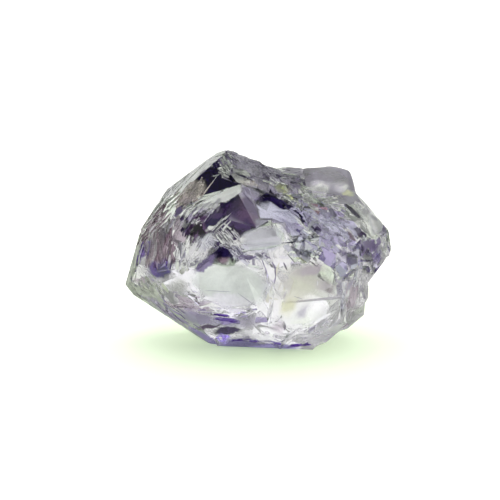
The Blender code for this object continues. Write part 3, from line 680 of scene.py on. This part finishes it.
def paint_stains_and_light(tree, crystal, place, colour, frost):
    """Lays the painted patches over a colour and a frost, each where it shows on the skin in the front view: stains
    and colour zoning, painted shade and painted highlights.
    """
    wobble = add(tree, "ShaderNodeTexNoise", {"Vector": (place, "Object"), "Scale": 2500.0, "Detail": 5.0})
    shift = add(tree, "ShaderNodeVectorMath", {0: (wobble, "Color"), 1: (0.5, 0.5, 0.5)}, operation="SUBTRACT")
    ragged = add(
        tree,
        "ShaderNodeVectorMath",
        {0: (shift, "Vector"), 1: (PATCH_RAGGED * MM,) * 3, 2: (place, "Object")},
        operation="MULTIPLY_ADD",
    )
    bare = colour
    # the rows lay stains, painted shade and painted highlights, each where it shows
    for across, up, half_width, half_height, roll, soft, tint, strength, frosted in STAINS_AND_PAINTED_LIGHT:
        point, _ = on_skin(crystal, FRONT, across, up)
        if point is None:
            raise ValueError(f"the {tint} cloud at {across}, {up} is off the crystal")
        turned = Matrix.Rotation(math.radians(90 - EYE_TILT), 3, "X") @ Matrix.Rotation(math.radians(roll), 3, "Z")
        sockets = {
            "Vector": (ragged, "Vector"),
            "Location": point,
            "Rotation": turned.to_euler(),
            "Scale": (half_width * MM, half_height * MM, PATCH_DEPTH * MM),
        }
        spot = add(tree, "ShaderNodeMapping", sockets, vector_type="TEXTURE")
        ball = add(tree, "ShaderNodeTexGradient", {"Vector": (spot, "Vector")}, gradient_type="SPHERICAL")
        sockets = {"Value": (ball, "Fac"), "From Max": soft, "To Max": strength}
        cover = add(tree, "ShaderNodeMapRange", sockets, interpolation_type="SMOOTHSTEP")
        sockets = {"Factor": (cover, "Result"), 6: colour, 7: through(tint)}
        colour = (add(tree, "ShaderNodeMix", sockets, data_type="RGBA"), 2)
        if frosted is not None:
            frost = (add(tree, "ShaderNodeMix", {"Factor": (cover, "Result"), 2: frost, 3: frosted}), 0)
    kept = add(tree, "ShaderNodeAttribute", attribute_name="own")
    mixed = add(tree, "ShaderNodeMix", {"Factor": (kept, "Fac"), 6: colour, 7: bare}, data_type="RGBA")
    # the whole skin is mottled, in spots of about 0.2 mm and finer
    sockets = {"Vector": (place, "Object"), "Scale": 4000.0, "Detail": 4.0, "Roughness": 0.7}
    spots = add(tree, "ShaderNodeTexNoise", sockets)
    sockets = {"Value": (spots, "Fac"), "From Min": 0.3, "From Max": 0.6, "To Min": 0.8, "To Max": 1.0}
    dimmed = add(tree, "ShaderNodeMapRange", sockets)
    mottled = add(tree, "ShaderNodeVectorMath", {0: (mixed, 2), 3: (dimmed, "Result")}, operation="SCALE")
    return (mottled, "Vector"), frost


def clear_scapolite(settings, crystal):
    """Gem-clear scapolite: fresh breaks are glassy, old skin is etched to a frosted, sugary grain.

    The faces carry their own tint and frost, and among the tints are painted shade and painted highlights. The body's
    lavender comes from absorption inside it.
    """
    material = bpy.data.materials.new("clear scapolite, cleaved and etched")
    material.use_nodes = True
    tree = material.node_tree
    shader = tree.nodes["Principled BSDF"]
    place = add(tree, "ShaderNodeTexCoord")
    tint = add(tree, "ShaderNodeAttribute", attribute_name="tint")
    frost = add(tree, "ShaderNodeAttribute", attribute_name="frost")
    colour, frost = paint_stains_and_light(tree, crystal, place, (tint, "Color"), (frost, "Fac"))
    # sugary etching of the old skin, grains about 0.1 mm
    grain = add(tree, "ShaderNodeTexNoise", {"Vector": (place, "Object"), "Scale": 9000.0, "Detail": 4.0})
    sockets = {"Value": frost, "To Min": settings.fresh_roughness, "To Max": settings.frosted_roughness}
    rough = add(tree, "ShaderNodeMapRange", sockets)
    height = add(tree, "ShaderNodeMath", {0: (grain, "Fac"), 1: frost}, operation="MULTIPLY")
    bump = add(tree, "ShaderNodeBump", {"Height": (height, "Value"), "Strength": 0.5, "Distance": 0.05 * MM})
    for socket, (source, output) in {
        "Base Color": colour,
        "Roughness": (rough, "Result"),
        "Normal": (bump, "Normal"),
    }.items():
        tree.links.new(source.outputs[output], shader.inputs[socket])
    shader.inputs["IOR"].default_value = IOR
    shader.inputs["Transmission Weight"].default_value = 1.0
    depth = add(tree, "ShaderNodeVolumeAbsorption", {"Density": settings.depth_of_colour})
    depth.inputs["Color"].default_value = tuple(settings.body_colour) + (1.0,)
    tree.links.new(depth.outputs["Volume"], tree.nodes["Material Output"].inputs["Volume"])
    return material


class ScapoliteCrystalSettings(bpy.types.PropertyGroup):
    body_colour: bpy.props.FloatVectorProperty(
        name="Body colour", description="Colour that deep crystal turns", subtype="COLOR", size=3,
        min=0, max=1, default=linear("#C9BDE0")[:3],
    )
    depth_of_colour: bpy.props.FloatProperty(
        name="Depth of colour", description="Density of the body colour, per metre", default=70.0, min=0.0
    )
    fresh_roughness: bpy.props.FloatProperty(
        name="Fresh roughness", description="Roughness of a fresh glassy break", default=0.02, min=0, max=1
    )
    frosted_roughness: bpy.props.FloatProperty(
        name="Frosted roughness", description="Roughness of etched old skin", default=0.5, min=0, max=1
    )


class ScapoliteStudioSettings(bpy.types.PropertyGroup):
    floor_colour: bpy.props.FloatVectorProperty(
        name="Floor colour", description="Colour of the pale floor", subtype="COLOR", size=3,
        min=0, max=1, default=linear("#F0F1EA")[:3],
    )
    # painted light and shade: the floor's colour and glow turn to this darker green round the crystal
    painted_bounce_colour: bpy.props.FloatVectorProperty(
        name="Floor by the crystal", description="Colour of the floor right under the crystal", subtype="COLOR",
        size=3, min=0, max=1, default=linear("#D9F2C4")[:3],
    )
    glow: bpy.props.FloatProperty(
        name="Floor glow", description="Light that comes up through the floor", default=0.5, min=0
    )
    sky_strength: bpy.props.FloatProperty(
        name="Light", description="Strength of the soft light all round", default=1.95, min=0
    )


class SCAPOLITE_OT_crystal(bpy.types.Operator):
    """Finish the rough scapolite crystal"""

    bl_idname = "scapolite.crystal"
    bl_label = "Rough crystal"

    def execute(self, context):
        settings = context.scene.scapolite_crystal
        node = frame["nodes"]["crystal"]
        crystal = bpy.data.objects.new("rough_scapolite", node.data.copy())
        context.scene.collection.objects.link(crystal)
        select_only(crystal)
        bpy.ops.object.mode_set(mode="EDIT")
        bpy.ops.mesh.select_all(action="SELECT")
        bpy.ops.mesh.remove_doubles(threshold=1e-7)
        bpy.ops.mesh.dissolve_limited(angle_limit=math.radians(0.5))
        bpy.ops.object.mode_set(mode="OBJECT")
        round_off_knob(crystal)
        paint_faces(crystal.data)
        slabs = [slab_shape(name, corners) for name, corners in SLABS.items()]
        for name, row in BREAKS.items():
            cut_away(crystal, name, [flat_break(name, crystal, *row)])
        cutters = []
        for name, zone in TORN.items():
            cutters += splinters(name, crystal, slabs, *zone)
        for i, line in enumerate(LINES):
            cutters += hairline(f"line_{i + 1}", crystal, slabs[0], *line)
        cut_away(crystal, "cuts", cutters)
        for slab in slabs:
            bpy.data.objects.remove(slab)
        select_only(crystal)
        bpy.ops.object.shade_smooth_by_angle(angle=math.radians(SMOOTH_UNDER))
        crystal.data.materials.clear()
        crystal.data.materials.append(clear_scapolite(settings, crystal))
        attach(crystal, "root")
        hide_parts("crystal")
        return {"FINISHED"}


class SCAPOLITE_OT_studio(bpy.types.Operator):
    """Set the pale floor, the soft light and the camera"""

    bl_idname = "scapolite.studio"
    bl_label = "Studio"

    def execute(self, context):
        settings = context.scene.scapolite_studio
        bpy.ops.object.select_all(action="DESELECT")
        bpy.ops.mesh.primitive_plane_add(size=2, location=(0, 0, -0.02 * MM))
        floor = context.object
        floor.name = "studio_floor"
        sheet = bpy.data.materials.new("matt white acrylic sheet")
        sheet.use_nodes = True
        tree = sheet.node_tree
        shader = tree.nodes["Principled BSDF"]
        place = add(tree, "ShaderNodeTexCoord")
        # painted light and shade: towards the crystal the floor's colour and its glow turn darker green
        sockets = {"Vector": (place, "Object"), "Scale": (NEAR_FLOOR * MM,) * 3}
        near = add(tree, "ShaderNodeMapping", sockets, vector_type="TEXTURE")
        ball = add(tree, "ShaderNodeTexGradient", {"Vector": (near, "Vector")}, gradient_type="SPHERICAL")
        sockets = {
            "Factor": (ball, "Fac"),
            6: tuple(settings.floor_colour) + (1,),
            7: tuple(settings.painted_bounce_colour) + (1,),
        }
        hue = add(tree, "ShaderNodeMix", sockets, data_type="RGBA")
        for socket in ("Base Color", "Emission Color"):
            tree.links.new(hue.outputs[2], shader.inputs[socket])
        shader.inputs["Roughness"].default_value = 0.7
        shader.inputs["Emission Strength"].default_value = settings.glow
        floor.data.materials.append(sheet)

        world = bpy.data.worlds.new("soft light all round")
        world.use_nodes = True
        tree = world.node_tree
        # it fades out behind the camera, so that faces that look that way stay dark
        way = add(tree, "ShaderNodeTexCoord")
        axes = add(tree, "ShaderNodeSeparateXYZ", {"Vector": (way, "Generated")})
        fade = add(
            tree,
            "ShaderNodeMapRange",
            {"Value": (axes, "Y"), "From Min": -0.6, "From Max": 0.45, "To Min": 0.04, "To Max": 1.0},
            interpolation_type="SMOOTHSTEP",
        )
        ray = add(tree, "ShaderNodeLightPath")
        seen = add(tree, "ShaderNodeMath", {0: (fade, "Result"), 1: (ray, "Is Camera Ray")}, operation="MAXIMUM")
        strength = add(tree, "ShaderNodeMath", {0: (seen, "Value"), 1: settings.sky_strength}, operation="MULTIPLY")
        tree.links.new(strength.outputs["Value"], tree.nodes["Background"].inputs["Strength"])
        tree.nodes["Background"].inputs["Color"].default_value = (1, 1, 1, 1)
        context.scene.world = world
        context.scene.view_settings.view_transform = "Standard"

        lens = bpy.data.cameras.new("camera")
        lens.lens, lens.sensor_width = LENS, 36
        lens.clip_start, lens.clip_end = 0.001, 10
        camera = bpy.data.objects.new("camera", lens)
        context.scene.collection.objects.link(camera)
        camera.location = sight(FRONT)[0]
        camera.rotation_euler = (math.radians(90 - EYE_TILT), 0, 0)
        context.scene.camera = camera
        return {"FINISHED"}


class SCAPOLITE_PT_panel(bpy.types.Panel):
    """Lists the crystal and its studio"""

    bl_label = "Scapolite crystal"
    bl_space_type = "VIEW_3D"
    bl_region_type = "UI"
    bl_category = "Scapolite"

    def draw(self, context):
        for group, operator in (
            (context.scene.scapolite_crystal, "scapolite.crystal"),
            (context.scene.scapolite_studio, "scapolite.studio"),
        ):
            box = self.layout.box()
            box.operator(operator)
            for prop in group.bl_rna.properties:
                if not prop.is_readonly and prop.identifier != "name":
                    box.prop(group, prop.identifier)


CLASSES = (
    ScapoliteCrystalSettings,
    ScapoliteStudioSettings,
    SCAPOLITE_OT_crystal,
    SCAPOLITE_OT_studio,
    SCAPOLITE_PT_panel,
)


def register():
    for cls in CLASSES:
        bpy.utils.register_class(cls)
    bpy.types.Scene.scapolite_crystal = bpy.props.PointerProperty(type=ScapoliteCrystalSettings)
    bpy.types.Scene.scapolite_studio = bpy.props.PointerProperty(type=ScapoliteStudioSettings)


def unregister():
    del bpy.types.Scene.scapolite_studio
    del bpy.types.Scene.scapolite_crystal
    for cls in reversed(CLASSES):
        bpy.utils.unregister_class(cls)


def main():
    register()
    bpy.ops.scapolite.crystal()
    bpy.ops.scapolite.studio()


if __name__ == "__main__":
    main()
